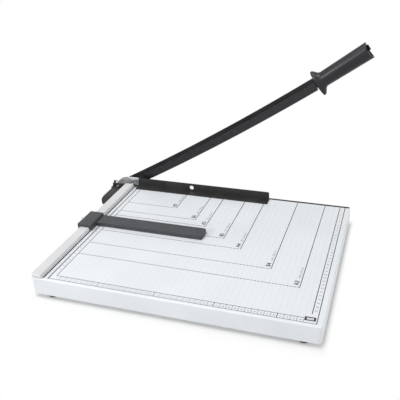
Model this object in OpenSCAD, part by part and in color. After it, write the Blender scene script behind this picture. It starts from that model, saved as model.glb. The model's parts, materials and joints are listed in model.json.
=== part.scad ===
// Guillotine paper trimmer for sheets up to A3.
// Pieces are drawn on the table's own axes: x runs along the cut from the fence foot,
// y is 0 at the cut line and negative towards the user, z is 0 on the table top.
// in_row_frame() then stands the trimmer on its feet, with the origin under its middle.

/* [Table] */
// Width of the table from the fence foot to the right edge
table_w = 470; // [430:1:520]
// Depth of the table from the cut line to the front face
table_d = 386; // [340:1:430]
// Height of the base pan without its feet
pan_h = 32; // [30:0.5:45]
// Thickness of the pan's sheet steel
sheet_t = 1.5; // [1:0.1:2.5]
// Outer radius of the fold along the table's edges
fold_r = 3; // [2:0.5:5]
// Plan radius of the front left corner
corner_r_left = 7; // [6:0.5:18]
// Plan radius of the front right corner
corner_r_right = 7; // [6:0.5:12]
// Width of the flange turned in under the pan, with a relief in the corner at the pivot's notch
lip_w = 24; // [22:1:40]

/* [Feet] */
// Radius of a rubber foot
foot_r = 10; // [7:0.5:10]
// Height of a rubber foot
foot_h = 7; // [4:0.5:12]
// Distance of the right feet from the right edge
foot_from_right = 28; // [16:1:60]
// Distance of the front left foot from the left wall
foot_from_left = 32; // [24:1:60]
// Distance of the rear left foot from the left wall, clear of the pivot's notch
foot_rear_left = 42; // [40:1:60]
// Distance of the feet from the front face, and of the rear ones from the rear wall
foot_from_wall = 14; // [12:0.5:14]

/* [Fence] */
// Width of the fence
fence_w = 21; // [16:0.5:26]
// Height of the fence above the table
fence_h = 6.5; // [5:0.25:8]
// How far the fence's inner side leans back over its height
fence_lean = 2.2; // [0:0.2:4]
// Step between the fence's outer side and the pan's left wall
fence_inset = 0.5; // [0.2:0.1:1]
// Distance from the cut line to the rear end of the fence
fence_end = 19.5; // [19:0.5:24]
// Number of screws under the fence
fence_screw_count = 3; // [2:1:6]

/* [Ledger blade] */
// Thickness of the fixed lower blade
ledger_t = 3; // [2.5:0.25:4]
// Height of the fixed lower blade
ledger_h = 20; // [16:0.5:24]
// Distance from the fence foot to the start of the fixed blade
ledger_start = 9; // [8.5:0.5:14]
// Distance from the end of the fixed blade to the right edge of the table
ledger_stop = 2; // [1:0.5:8]
// Number of screws in the fixed blade
ledger_screw_count = 6; // [4:1:9]
// Depth of the nut rail behind the fixed blade's screws
rail_t = 6; // [4:0.5:8]

/* [Pivot] */
// Distance of the arm's pivot to the left of the fence foot
pivot_left = 26.5; // [26:0.25:32]
// Distance of the arm's pivot below the table top
pivot_drop = 6.5; // [6:0.25:9]
// Radius of the bracket's round head about the pivot
bracket_r = 19.5; // [18:0.5:22]
// Depth of the bracket in front of its plate
bracket_d = 12; // [11.5:0.5:13]
// Thickness of the plate that the arm runs against
plate_t = 1.6; // [1.2:0.1:2]
// Height of the plate's shoulder above the table
plate_rise = 13.8; // [12:0.2:16]
// Length of the bracket's foot inside the pan
bracket_foot = 32; // [26:1:50]
// Radius of the pivot bolt
bolt_r = 4; // [3:0.25:4.25]
// Radius of the pivot bolt's head
bolt_head_r = 6.5; // [5.5:0.25:8]
// Thickness of the pivot bolt's head
bolt_head_t = 4; // [2.5:0.25:5]
// Thickness of the pivot nut
nut_t = 6.5; // [5:0.5:8]
// Width of the pivot nut across its flats
nut_af = 13; // [11:0.5:15]
// Thickness of a pivot washer
washer_t = 1.5; // [1:0.1:2.5]
// Radius of a pivot washer
washer_r = 9; // [8.5:0.25:11]
// Length of the pivot spring between its washers
spring_len = 10; // [8:0.5:16]
// Radius of the pivot spring at the middle of its wire
spring_r = 6; // [5.5:0.25:7]
// Thickness of the pivot spring's wire
spring_wire = 1.4; // [1:0.1:1.6]
// Curls in the pivot spring
spring_curls = 3.5; // [2:0.5:4]

/* [Arm] */
// Angle of the raised arm above the closed position
arm_open = 31.3; // [0:0.1:60]
// Thickness of the arm's bar
bar_t = 4; // [3:0.25:6]
// Width of the arm's bar
bar_w = 21; // [17:0.5:26]
// Thickness of the moving blade
blade_t = 2; // [1.5:0.1:3]
// Width of the moving blade
blade_w = 16; // [12:0.5:20]
// How far the blade's edge reaches below the bar
blade_reach = 3; // [1:0.25:5]
// Radius of the arm's bow, which hangs towards the table
bow_r = 5000; // [3000:100:9000]
// Distance from the pivot to the lowest point of the bow
bow_at = 240; // [200:5:280]
// Height of the bar's middle line above the pivot at that lowest point
bow_low = -2.1; // [-4:0.1:2]
// Distance from the pivot to the start of the blade
blade_start = 37; // [32:1:60]
// Gap between the end of the blade and the handle's guard
blade_clear = 1; // [0.75:0.25:6]
// Radius of the bar's round tail about the pivot
tail_r = 14; // [12.5:0.5:18]
// Number of screws in the moving blade
blade_screw_count = 5; // [3:1:8]

/* [Handle] */
// Distance from the pivot to the handle's guard
handle_at = 485; // [482:1:520]
// Height of the handle's axis above the pivot at the guard
handle_rise = 0.8; // [-1:0.1:2.5]
// Upward tilt of the handle from the arm's chord
handle_tilt = 4.5; // [3:0.25:5]
// Length of the handle
handle_len = 112; // [95:1:130]
// Height of the grip
grip_h = 29; // [27:0.5:36]
// Width of the grip
grip_w = 24; // [22:0.5:30]
// How much the grip's half height grows towards its end
grip_flare = 1.5; // [0:0.25:3]
// Reach of the guard's upper horn above the grip
guard_up = 10; // [6:0.5:14]
// Reach of the guard's lower horn below the grip
guard_down = 12.5; // [6:0.5:14]
// Thickness of the guard's rim
guard_t = 2.5; // [2:0.5:8]
// Length over which the guard runs out into the grip
guard_run = 16; // [12:1:30]
// Depth of the bar's tang inside the handle
tang_len = 78; // [60:1:85]
// Height of the bar's tang inside the handle
tang_h = 12; // [8:0.5:14]
// Depth of the recess in the handle's end
recess_depth = 7; // [4:0.5:10]
// Wall of the handle around that recess
recess_wall = 3.5; // [2.5:0.25:5]

/* [Clamp] */
// Distance from the fence foot to the left end of the clamp bar
clamp_start = 8; // [8:0.5:20]
// Length of the clamp bar
clamp_len = 296; // [250:1:340]
// Height of the clamp bar's front flange
clamp_h = 18.1; // [14:0.1:24]
// Depth of the clamp bar's foot
clamp_foot = 20; // [14:0.5:26]
// Thickness of the clamp bar's steel
clamp_t = 1.6; // [1.2:0.1:2.5]
// Distance from the cut line to the flange's rear face
clamp_back = 9.8; // [9.8:0.1:11]
// Radius of the flange's upper corner at its free end
clamp_corner_r = 3; // [1:0.5:6]
// Radius of the hole in the flange
clamp_hole_r = 4.5; // [3:0.25:5.5]
// Distance of that hole from the bar's left end
clamp_hole_at = 125; // [60:1:180]
// Radius of the clamp shaft
shaft_r = 2.5; // [2:0.1:2.6]
// Distance of the clamp shaft's axis from the cut line
shaft_back = 9.5; // [9:0.1:10]
// Height of the clamp shaft's axis above the table
shaft_rise = 0.9; // [0.8:0.05:1.5]
// Radius of the lug's hub on the shaft
lug_r = 4.6; // [4.2:0.1:5]
// Height of the lug's crown above the table
lug_rise = 11; // [9.5:0.25:12]
// Length of the lug's tongue behind the clamp bar
tongue_len = 24; // [18:1:40]

/* [Clamp lever] */
// Width of the lever's paddle
paddle_w = 22; // [17:0.5:24]
// Distance from the cut line to the paddle's rear edge
paddle_back = 21; // [20.5:0.5:26]
// Distance from the cut line to the paddle's tip
paddle_tip = 97; // [80:0.5:108]
// Gap between the paddle and the pan's left wall
paddle_gap = 6; // [4:0.5:8]
// Thickness of the lever
lever_t = 4; // [3:0.25:5]
// Drop of the paddle's top below the table top
paddle_drop = 3; // [1:0.25:5]
// Radius at which the paddle's tip curls down
droop_r = 100; // [60:1:160]
// Radius of the lever's knuckle
knuckle_r = 4.6; // [4.2:0.1:5.5]
// Length of the lever's knuckle along the shaft
knuckle_len = 5.5; // [4:0.5:10]
// Length of the collar between the knuckle and the bracket
collar_len = 1.5; // [1:0.1:3]

/* [Stop] */
// Distance from the cut line to the rear of the stop's block
stop_back = 167; // [150:1:230]
// Depth of the stop's block
block_d = 53; // [44:1:70]
// Height of the block above the table
block_h = 12.2; // [12:0.1:16]
// Wall of the block on the table side
block_wall = 2.5; // [2:0.1:4]
// Wall of the block on the outer side
block_outer_wall = 3; // [2.5:0.1:5]
// How far the block's outer wall reaches below the table top
block_skirt = 4; // [2.5:0.25:8]
// Distance from the block's rear to the stop bar's rear edge
bar_setback = 2; // [1:0.5:8]
// Depth of the stop bar
stop_bar_d = 30; // [22:1:34]
// Height of the stop bar's top above the table
stop_bar_h = 8.6; // [8.2:0.1:8.8]
// Length of the stop bar beyond the block
stop_bar_len = 217; // [160:1:260]
// Cut-off of the stop bar's end corners
stop_bar_chamfer = 3; // [1:0.5:10]
// Thickness of the tongue that joins the stop bar to the block
stop_tongue_t = 1.5; // [1.2:0.1:1.6]
// Radius of the thumb screw's head
thumb_r = 7; // [5:0.25:8]
// Thickness of the thumb screw's head
thumb_t = 6; // [4:0.5:9]
// Height of the thumb screw's axis above the table
thumb_rise = 3.2; // [2.8:0.1:3.6]
// Radius of the thumb screw's thread
thumb_thread_r = 2; // [1.5:0.1:2.5]

/* [Fasteners and fits] */
// Radius of the screws
screw_r = 2; // [1.5:0.1:2.2]
// Radius of the screws' heads, straight or countersunk
screw_head_r = 3.8; // [3.2:0.1:4.2]
// Gap around a screw in its hole
hole_gap = 0.1; // [0.05:0.01:0.2]
// Radial clearance of a shaft that turns in its bore
running_fit = 0.05; // [0.02:0.01:0.08]
// Gap between pieces that move past each other
run_gap = 0.3; // [0.25:0.05:0.5]
// Gap between the clamp's foot and the table, for the paper
paper_gap = 0.4; // [0.3:0.05:1]

/* [Hidden] */
$fn = 64;
// Overlap of pieces that are joined, and how far a cut runs past the faces that it opens
eps = 0.01;
past = 1;

// Walls of the base
base_left = -(fence_w + fence_inset);
base_right = table_w;
base_front = -table_d;
base_back = -ledger_t;
base_inner_back = base_back - sheet_t;
floor_z = -pan_h - foot_h;

// Corner of the table that is cut away for the bracket
notch_right = ledger_start - run_gap;
notch_front = -fence_end;

// Screws of the fixed blade and the fence: a shank stops short of the far face
screw_head_t = 2;
head_gap = 0.5;
rail_cover = 1;
ledger_screw_in = 12;
ledger_screw_len = ledger_t + sheet_t + rail_t - rail_cover;
ledger_screw_z = -ledger_h / 2;
ledger_first = ledger_start + bracket_foot / 2;
ledger_last = base_right - ledger_stop - ledger_screw_in;
ledger_pitch = (ledger_last - ledger_first) / (ledger_screw_count - 1);
rail_gap = 2;
rail_start = ledger_start + bracket_foot + rail_gap;
rail_stop = base_right - sheet_t - fold_r;
fence_cover = 2;
fence_land = 0.5;
fence_screw_x = -fence_w / 2;
fence_screw_in = 30;
fence_screw_len = sheet_t + fence_h - fence_cover;

// Feet: centres and the screws through the flange
foot_front_y = base_front + foot_from_wall;
foot_rear_y = base_back - foot_from_wall;
foot_spots = [
    [base_left + foot_from_left, foot_front_y], [base_right - foot_from_right, foot_front_y],
    [base_left + foot_rear_left, foot_rear_y], [base_right - foot_from_right, foot_rear_y]
];
foot_taper = 1;
foot_recess = 2.5;
foot_screw_proud = 2;
foot_screw_len = foot_h - foot_recess + sheet_t + foot_screw_proud;

// Pivot: everything on the bolt in order along y
pivot_x = -pivot_left;
pivot_z = -pivot_drop;
plate_back = -run_gap;
plate_front = plate_back - plate_t;
bracket_front = plate_front - bracket_d;
arm_front = run_gap;
blade_back = arm_front + blade_t;
bar_back = blade_back + bar_t;
washer_start = bar_back + run_gap;
spring_start = washer_start + washer_t;
outer_washer_start = spring_start + spring_len;
nut_start = outer_washer_start + washer_t;
bolt_proud = 3;
bolt_end = nut_start + nut_t + bolt_proud;
bush_wall = 2.5;
bush_flange = 3.5;
bush_r = bolt_r + bush_wall;
bush_flange_r = bush_r + bush_flange;
bracket_lift = 2;
bracket_bottom = -pan_h + bracket_lift;
bracket_foot_gap = 1;
bracket_foot_bottom = -pan_h + sheet_t + foot_screw_proud + bracket_foot_gap;
lug_floor_gap = 1;
bracket_shelf = shaft_rise - lug_r - lug_floor_gap;
bracket_foot_left = pivot_x + bolt_head_r + run_gap;
bracket_foot_front = notch_front + run_gap;
bracket_foot_right = ledger_start + bracket_foot;
plate_right = notch_right - run_gap;
plate_screw_in = 5;
plate_screw_pitch = 9.4;
plate_screw_xs = [plate_right - plate_screw_in - plate_screw_pitch, plate_right - plate_screw_in];
plate_screw_z = (bracket_bottom + bracket_shelf) / 2;
plate_screw_len = 9;
plate_web = 0.2;
plate_head_r = screw_r + plate_t - plate_web;

// Spring: points of its middle line, eight to a curl
spring_steps = 8 * spring_curls;
spring_climb = spring_len - spring_wire - 2 * hole_gap;
spring_pitch = spring_climb / spring_curls;

// Arm: height of its middle line at a distance u from the pivot
arm_steps = 24;
function bow(u) = bow_low + pow(u - bow_at, 2) / (2 * bow_r);
bar_clear = 1.2;
bar_stop = handle_at - bar_clear;
blade_stop = handle_at - blade_clear;
blade_low = -bar_w / 2 - blade_reach;
blade_high = blade_low + blade_w;
blade_screw_in = 16;
blade_first = blade_start + blade_screw_in;
blade_last = blade_stop - blade_screw_in;
blade_pitch = (blade_last - blade_first) / (blade_screw_count - 1);
blade_screw_w = (blade_high - bar_w / 2) / 2;
blade_screw_reach = 1.2;

// Handle
handle_front = arm_front + run_gap;
handle_mid_y = handle_front + grip_w / 2;
grip_rings = 26;
grip_sides = 36;
tang_gap = 0.15;
tang_root = 8;
handle_screw_first = 26;
handle_screw_in = 16;
handle_screw_ts = [handle_screw_first, tang_len - handle_screw_in];
handle_screw_sink = 7;
handle_screw_seat = handle_front + grip_w - bar_back - handle_screw_sink;
recess_r = 4;
recess_floor = handle_len - recess_depth;
plug_gap = 0.2;
plug_proud = 1.5;
plug_top = handle_len - recess_depth / 2;
plug_tab_w = 6;
plug_tab_h = 9.7;
grip_end_round = 0.6;
grip_end_run = 4;
end_scoop = 3;
end_half_h = grip_h / 2 + grip_flare;
scoop_r = (pow(end_half_h, 2) + pow(end_scoop, 2)) / (2 * end_scoop);
guard_edge = 0.8;

// Clamp
clamp_front = -clamp_back - clamp_t;
clamp_low = paper_gap;
lug_left = pivot_x + bracket_r + run_gap;
lug_right = notch_right - run_gap;
crown_r = 2.8;
crown_lead = 0.6;
crown_back = clamp_back - crown_r + crown_lead;
tongue_t = 2.6;
tongue_root = 4;
tongue_lift = 1;
tongue_low = clamp_low + clamp_t + tongue_lift;
tongue_high = lug_rise - crown_r;
rivet_r = 1.5;
rivet_head_r = 2.55;
rivet_head_t = 1;
rivet_in = 7;
rivet_xs = [clamp_start + rivet_in, clamp_start + tongue_len - rivet_in];
rivet_z = (tongue_low + tongue_high) / 2;
shaft_right = clamp_start - run_gap;
collar_wall = 2;
collar_right = pivot_x - bracket_r - run_gap;
knuckle_right = collar_right - collar_len;
knuckle_left = knuckle_right - knuckle_len;
paddle_right = base_left - paddle_gap;
paddle_left = paddle_right - paddle_w;
droop_run = 36;
droop_start = paddle_tip - droop_run;
droop_steps = 10;
leg_root = 6;
leg_low = -paddle_drop - lever_t;
yoke_w = 7;
yoke_t = 2.3;
yoke_gap = 1;
yoke_rise = 0.45;
yoke_step = 0.5;
yoke_front = bracket_front - bolt_head_t - run_gap;
yoke_back = bracket_front - yoke_gap;
yoke_low = pivot_z + bolt_head_r * cos(30) + yoke_rise;
yoke_high = yoke_low + yoke_t;

// Stop
block_right = run_gap + block_wall;
block_left = base_left - run_gap - block_outer_wall;
block_roof = fence_h + run_gap;
stop_front = stop_back + block_d;
stop_mid = stop_back + bar_setback + stop_bar_d / 2;
stop_bar_y = [-stop_mid - stop_bar_d / 2, -stop_mid + stop_bar_d / 2];
stop_bar_low = paper_gap + hole_gap;
tongue_top = stop_bar_h - hole_gap;
stop_tongue_low = tongue_top - stop_tongue_t;
stop_tongue_in = 5;
stop_tongue_left = -fence_w + stop_tongue_in;
stop_screw_in = 4.5;
stop_screw_xs = [stop_tongue_left + stop_screw_in, -stop_screw_in];
stop_screw_r = 1.25;
stop_screw_head_r = 2.4;
stop_screw_cover = 1;
stop_screw_len = block_h - stop_tongue_low - stop_screw_cover;
thumb_ahead = 8;
thumb_y = -stop_mid - thumb_ahead;
thumb_grooves = 24;
thumb_groove_r = 0.5;

// The whole box at rest, for the origin under its middle
tilt_all = arm_open + handle_tilt;
handle_end_x = pivot_x + handle_at * cos(arm_open) - handle_rise * sin(arm_open)
    + handle_len * cos(tilt_all) + end_half_h * sin(tilt_all);
mid_x = (knuckle_left + handle_end_x) / 2;
mid_y = (base_front + max(bolt_end, handle_front + grip_w)) / 2;

// Frames and directions

module in_row_frame() translate([-mid_x, -mid_y, -floor_z]) children();

module arm_frame() {
    in_row_frame() translate([pivot_x, 0, pivot_z]) rotate([0, -arm_open, 0]) children();
}

module handle_frame() {
    arm_frame() translate([handle_at, 0, handle_rise]) rotate([0, -handle_tilt, 0]) children();
}

// Turns something drawn up z so that it points along y, or along x
module along_y() rotate([-90, 0, 0]) children();
module along_x() rotate([0, 90, 0]) children();

// A profile drawn in x and z, from y0 to y1
module xz_plate(y0, y1) translate([0, y1, 0]) rotate([90, 0, 0]) linear_extrude(y1 - y0) children();

// A profile drawn in y and z, from x0 to x1
module yz_prism(x0, x1) translate([x0, 0, 0]) rotate([90, 0, 90]) linear_extrude(x1 - x0) children();

// A block given by its lowest and highest corners
module block(low, high) translate(low) cube(high - low);

// Shared fasteners: head on z = 0, shank down

module flush_screw(len, r, head_r) {
    sink = head_r - r;
    rotate_extrude() polygon([[0, 0], [head_r, 0], [r, -sink], [r, -len], [0, -len]]);
}

module flush_hole(len, r, head_r) {
    sink = head_r - r;
    g = hole_gap;
    rotate_extrude()
        polygon([
            [0, past], [head_r + g, past], [head_r + g, 0], [r + g, -sink], [r + g, -len - g], [0, -len - g]
        ]);
}

module round_screw(len, r, head_r, head_t) {
    crown = (r + head_r) / 2;
    rotate_extrude()
        polygon([
            [0, head_t], [crown, head_t], [head_r, head_t / 2], [head_r, 0], [r, 0], [r, -len], [0, -len]
        ]);
}

module straight_hole(len, r) {
    translate([0, 0, -len - hole_gap]) cylinder(r = r + hole_gap, h = len + hole_gap + past);
}

module ring(r_out, r_in, h) {
    difference() {
        cylinder(r = r_out, h = h);
        translate([0, 0, -past]) cylinder(r = r_in, h = h + 2 * past);
    }
}

// Base

// Plan of the pan: round front corners, square rear corners
module pan_plan(inset) {
    x0 = base_left + inset;
    x1 = base_right - inset;
    y0 = base_front + inset;
    y1 = base_back - inset;
    rl = corner_r_left - inset;
    rr = corner_r_right - inset;
    translate([x0 + rl, y0]) square([x1 - x0 - rl - rr, y1 - y0]);
    translate([x0, y0 + rl]) square([rl + eps, y1 - y0 - rl]);
    translate([x1 - rr - eps, y0 + rr]) square([rr + eps, y1 - y0 - rr]);
    translate([x0 + rl, y0 + rl]) circle(rl);
    translate([x1 - rr, y0 + rr]) circle(rr);
}

// Side views of the pan, with the folds along its top edges
module fold_side() {
    front = base_front;
    back = base_back;
    translate([front, -pan_h]) square([back - front, pan_h - fold_r]);
    translate([front + fold_r, -fold_r - eps]) square([back - front - fold_r, fold_r + eps]);
    translate([front + fold_r, -fold_r]) circle(fold_r);
}

module fold_front() {
    wide = base_right - base_left;
    translate([base_left, -pan_h]) square([wide, pan_h - fold_r]);
    translate([base_left + fold_r, -fold_r - eps]) square([wide - 2 * fold_r, fold_r + eps]);
    for (x = [base_left + fold_r, base_right - fold_r]) translate([x, -fold_r]) circle(fold_r);
}

module pan_body() {
    intersection() {
        translate([0, 0, -pan_h]) linear_extrude(pan_h) pan_plan(0);
        yz_prism(base_left - past, base_right + past) fold_side();
        xz_plate(base_front - past, base_back + past) fold_front();
    }
}

module at_ledger_screws() {
    for (i = [0 : ledger_screw_count - 1])
        translate([ledger_first + i * ledger_pitch, 0, ledger_screw_z]) along_y() children();
}

module at_fence_screws() {
    first = base_front + fence_screw_in;
    last = -fence_end - fence_screw_in;
    for (i = [0 : fence_screw_count - 1])
        translate([fence_screw_x, first + i * (last - first) / (fence_screw_count - 1), -sheet_t])
            mirror([0, 0, 1]) children();
}

module base_pan() color("whitesmoke") in_row_frame() {
    difference() {
        pan_body();
        translate([0, 0, -pan_h + sheet_t]) linear_extrude(pan_h - 2 * sheet_t) pan_plan(sheet_t);
        block([base_left + lip_w, base_front + lip_w, -pan_h - past],
              [base_right - lip_w, base_back - lip_w, -pan_h + sheet_t + past]);
        block([base_left + lip_w, base_back - lip_w - past, -pan_h - past],
              [notch_right + run_gap, notch_front + past, -pan_h + sheet_t + past]);
        block([base_left - past, notch_front, -pan_h - past], [notch_right, base_back + past, past]);
        at_ledger_screws() straight_hole(ledger_screw_len, screw_r);
        at_fence_screws() straight_hole(fence_screw_len, screw_r);
        for (spot = foot_spots)
            translate([spot[0], spot[1], -pan_h - past])
                cylinder(r = screw_r + hole_gap, h = sheet_t + 2 * past);
    }
}

module foot(i) color("black") in_row_frame() translate([foot_spots[i][0], foot_spots[i][1], -pan_h]) {
    difference() {
        translate([0, 0, -foot_h]) cylinder(r1 = foot_r - foot_taper, r2 = foot_r, h = foot_h);
        translate([0, 0, -foot_h - past]) cylinder(r = screw_head_r + head_gap, h = foot_recess + past);
        translate([0, 0, -foot_h]) cylinder(r = screw_r + hole_gap, h = foot_h + past);
    }
}

module foot_front_left() foot(0);
module foot_front_right() foot(1);
module foot_rear_left() foot(2);
module foot_rear_right() foot(3);

module foot_screws() color("silver") in_row_frame() {
    for (spot = foot_spots)
        translate([spot[0], spot[1], floor_z + foot_recess])
            mirror([0, 0, 1]) round_screw(foot_screw_len, screw_r, screw_head_r, screw_head_t);
}

// Plan of the fence: it follows the pan's round corner
module fence_plan() {
    x0 = -fence_w;
    rl = corner_r_left - fence_inset;
    y0 = base_front + fence_inset;
    translate([x0, y0 + rl]) square([fence_w, -fence_end - y0 - rl]);
    translate([x0 + rl, y0]) square([fence_w - rl, rl + eps]);
    intersection() {
        translate([x0 + rl, y0 + rl]) circle(rl);
        translate([x0, y0]) square([fence_w, 2 * rl]);
    }
}

module fence() color("white") in_row_frame() {
    lean = fence_lean / (fence_h - fence_land);
    difference() {
        linear_extrude(fence_h) fence_plan();
        xz_plate(base_front - past, 0) polygon([
            [lean * past, fence_land - past], [past, fence_land - past],
            [past, fence_h + past], [-fence_lean - lean * past, fence_h + past]
        ]);
        at_fence_screws() straight_hole(fence_screw_len, screw_r);
    }
}

module fence_screws() color("silver") in_row_frame() {
    at_fence_screws() round_screw(fence_screw_len, screw_r, screw_head_r, screw_head_t);
}

module ledger_blade() color("dimgray") in_row_frame() {
    difference() {
        block([ledger_start, -ledger_t, -ledger_h], [base_right - ledger_stop, 0, 0]);
        at_ledger_screws() flush_hole(ledger_screw_len, screw_r, screw_head_r);
    }
}

module ledger_screws() color("silver") in_row_frame() {
    at_ledger_screws() flush_screw(ledger_screw_len, screw_r, screw_head_r);
}

module nut_rail() color("gray") in_row_frame() {
    difference() {
        block([rail_start, base_inner_back - rail_t, -ledger_h], [rail_stop, base_inner_back, -sheet_t]);
        at_ledger_screws() straight_hole(ledger_screw_len, screw_r);
    }
}

// Pivot

module bracket_head() {
    translate([pivot_x, pivot_z]) circle(bracket_r);
    translate([pivot_x - bracket_r, bracket_bottom]) square([2 * bracket_r, pivot_z - bracket_bottom]);
}

// Bore along the clamp's shaft, or about the pivot bolt
module shaft_bore(r) {
    translate([knuckle_left - past, -shaft_back, shaft_rise])
        along_x() cylinder(r = r, h = lug_right - knuckle_left + 2 * past);
}

module bolt_bore(y0, y1) {
    translate([pivot_x, y0 - past, pivot_z])
        along_y() cylinder(r = bolt_r + hole_gap, h = y1 - y0 + 2 * past);
}

module at_plate_screws() {
    for (x = plate_screw_xs) translate([x, plate_back, plate_screw_z]) along_y() children();
}

module pivot_bracket() color("lightgray") in_row_frame() {
    difference() {
        union() {
            xz_plate(bracket_front, plate_front) bracket_head();
            block([bracket_foot_left, bracket_foot_front, bracket_bottom],
                  [plate_right, plate_front, bracket_shelf]);
            block([plate_right - eps, bracket_foot_front, bracket_foot_bottom],
                  [bracket_foot_right, base_inner_back, bracket_shelf]);
        }
        shaft_bore(shaft_r + running_fit);
        bolt_bore(bracket_front, plate_front);
        at_plate_screws() straight_hole(plate_screw_len, screw_r);
        at_ledger_screws() straight_hole(ledger_screw_len, screw_r);
    }
}

module pivot_plate() color("white") in_row_frame() {
    difference() {
        xz_plate(plate_front, plate_back) {
            bracket_head();
            translate([pivot_x, bracket_bottom])
                square([plate_right - pivot_x, plate_rise - bracket_bottom]);
        }
        bolt_bore(plate_front, plate_back);
        at_plate_screws() flush_hole(plate_screw_len, screw_r, plate_head_r);
    }
}

module plate_screws() color("silver") in_row_frame() {
    at_plate_screws() flush_screw(plate_screw_len, screw_r, plate_head_r);
}

module on_pivot(y) in_row_frame() translate([pivot_x, y, pivot_z]) along_y() children();

module pivot_bolt() color("silver") {
    on_pivot(bracket_front - bolt_head_t) {
        cylinder(r = bolt_head_r, h = bolt_head_t, $fn = 6);
        cylinder(r = bolt_r, h = bolt_end - bracket_front + bolt_head_t);
    }
}

module pivot_washers() color("silver") {
    for (y = [washer_start, outer_washer_start]) on_pivot(y) ring(washer_r, bolt_r + hole_gap, washer_t);
}

module pivot_nut() color("silver") {
    on_pivot(nut_start) {
        difference() {
            cylinder(r = nut_af / 2 / cos(30), h = nut_t, $fn = 6);
            translate([0, 0, -past]) cylinder(r = bolt_r + hole_gap, h = nut_t + 2 * past);
        }
    }
}

// Spring: one tube of six sides that climbs round the bolt
function spring_point(i) = [
    spring_r * cos(45 * i),
    spring_r * sin(45 * i),
    spring_wire / 2 + hole_gap + spring_pitch * i / 8
];
function spring_ring(i) = [
    for (k = [0 : 5])
        let (c = spring_point(i), reach = spring_wire / 2 * cos(60 * k),
             rise = spring_wire / 2 * sin(60 * k))
            [c[0] + reach * cos(45 * i), c[1] + reach * sin(45 * i), c[2] + rise]
];
function tube_faces(steps, sides) = concat(
    [for (k = [1 : sides - 2]) [0, k, k + 1]],
    [for (i = [0 : steps - 1], k = [0 : sides - 1])
        let (a = i * sides + k, b = i * sides + (k + 1) % sides)
            each [[a, a + sides, b], [b, a + sides, b + sides]]],
    [for (k = [1 : sides - 2]) [steps * sides, steps * sides + k + 1, steps * sides + k]]
);
spring_gap = min([
    for (i = [0 : spring_steps - 8], j = [i + 5 : min(i + 11, spring_steps)])
        norm(spring_point(j) - spring_point(i)) - spring_wire
]);

module pivot_spring() color("silver") {
    echo(pivot_spring_least_gap = spring_gap);
    points = [for (i = [0 : spring_steps]) each spring_ring(i)];
    on_pivot(spring_start) polyhedron(points, tube_faces(spring_steps, 6));
}

// Arm

// A bowed strip between two offsets from the bar's middle line
module bowed_strip(u0, u1, low, high) {
    step = (u1 - u0) / arm_steps;
    polygon(concat(
        [for (i = [0 : arm_steps]) [u0 + i * step, bow(u0 + i * step) + low]],
        [for (i = [arm_steps : -1 : 0]) [u0 + i * step, bow(u0 + i * step) + high]]
    ));
}

module at_blade_screws() {
    for (i = [0 : blade_screw_count - 1]) {
        u = blade_first + i * blade_pitch;
        translate([u, bar_back, bow(u) + blade_screw_w]) along_y() children();
    }
}

module at_handle_screws() {
    for (t = handle_screw_ts) handle_frame() translate([t, bar_back, 0]) along_y() children();
}

// Side view of the bar's tang inside the handle, or of the pocket for it
module tang_side(gap) {
    translate([handle_at, handle_rise]) rotate(handle_tilt)
        translate([-tang_root, -tang_h / 2 - gap]) square([tang_root + tang_len + gap, tang_h + 2 * gap]);
}

module arm_bar() color([0.11, 0.11, 0.12]) {
    difference() {
        arm_frame() xz_plate(blade_back, bar_back) {
            circle(tail_r);
            bowed_strip(0, bar_stop, -bar_w / 2, bar_w / 2);
            tang_side(0);
        }
        arm_frame() translate([0, blade_back - past, 0])
            along_y() cylinder(r = bush_r, h = bar_t + 2 * past);
        arm_frame() at_blade_screws() straight_hole(bar_t + past, screw_r);
        at_handle_screws() straight_hole(bar_t + past, screw_r);
    }
}

module cutting_blade() color([0.14, 0.14, 0.15]) arm_frame() {
    difference() {
        xz_plate(arm_front, blade_back) bowed_strip(blade_start, blade_stop, blade_low, blade_high);
        at_blade_screws() straight_hole(bar_t + blade_screw_reach, screw_r);
    }
}

module blade_screws() color("dimgray") arm_frame() {
    at_blade_screws() round_screw(bar_t + blade_screw_reach, screw_r, screw_head_r, screw_head_t);
}

module pivot_bush() color("darkgoldenrod") arm_frame() {
    difference() {
        union() {
            along_y() cylinder(r = bush_flange_r, h = blade_back);
            along_y() cylinder(r = bush_r, h = bar_back);
        }
        translate([0, -past, 0]) along_y() cylinder(r = bolt_r + running_fit, h = bar_back + 2 * past);
    }
}

// Handle: rings of a rounded section along the grip, with the guard at its front
function ease(s) = s <= 0 ? 0 : s >= 1 ? 1 : s * s * (3 - 2 * s);
function grip_at(i) = handle_len * ease(i / grip_rings);
function guard_share(t) = pow(1 - ease((t - guard_t) / guard_run), 2);
function end_round(t) = grip_end_round * pow(max(0, (t - handle_len + grip_end_run) / grip_end_run), 2)
    + (t < 1 ? guard_edge * (1 - t) : 0);
function half_h(t, horn) = grip_h / 2 + grip_flare * t / handle_len + horn * guard_share(t) - end_round(t);
function half_w(t) = grip_w / 2 - end_round(t);
function rounded(c) = sign(c) * pow(abs(c), 0.9);
function grip_ring(t) = [
    for (k = [0 : grip_sides - 1])
        let (a = 360 * k / grip_sides, horn = a < 180 ? guard_up : guard_down)
            [t, handle_mid_y + half_w(t) * rounded(cos(a)), half_h(t, horn) * rounded(sin(a))]
];

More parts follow.
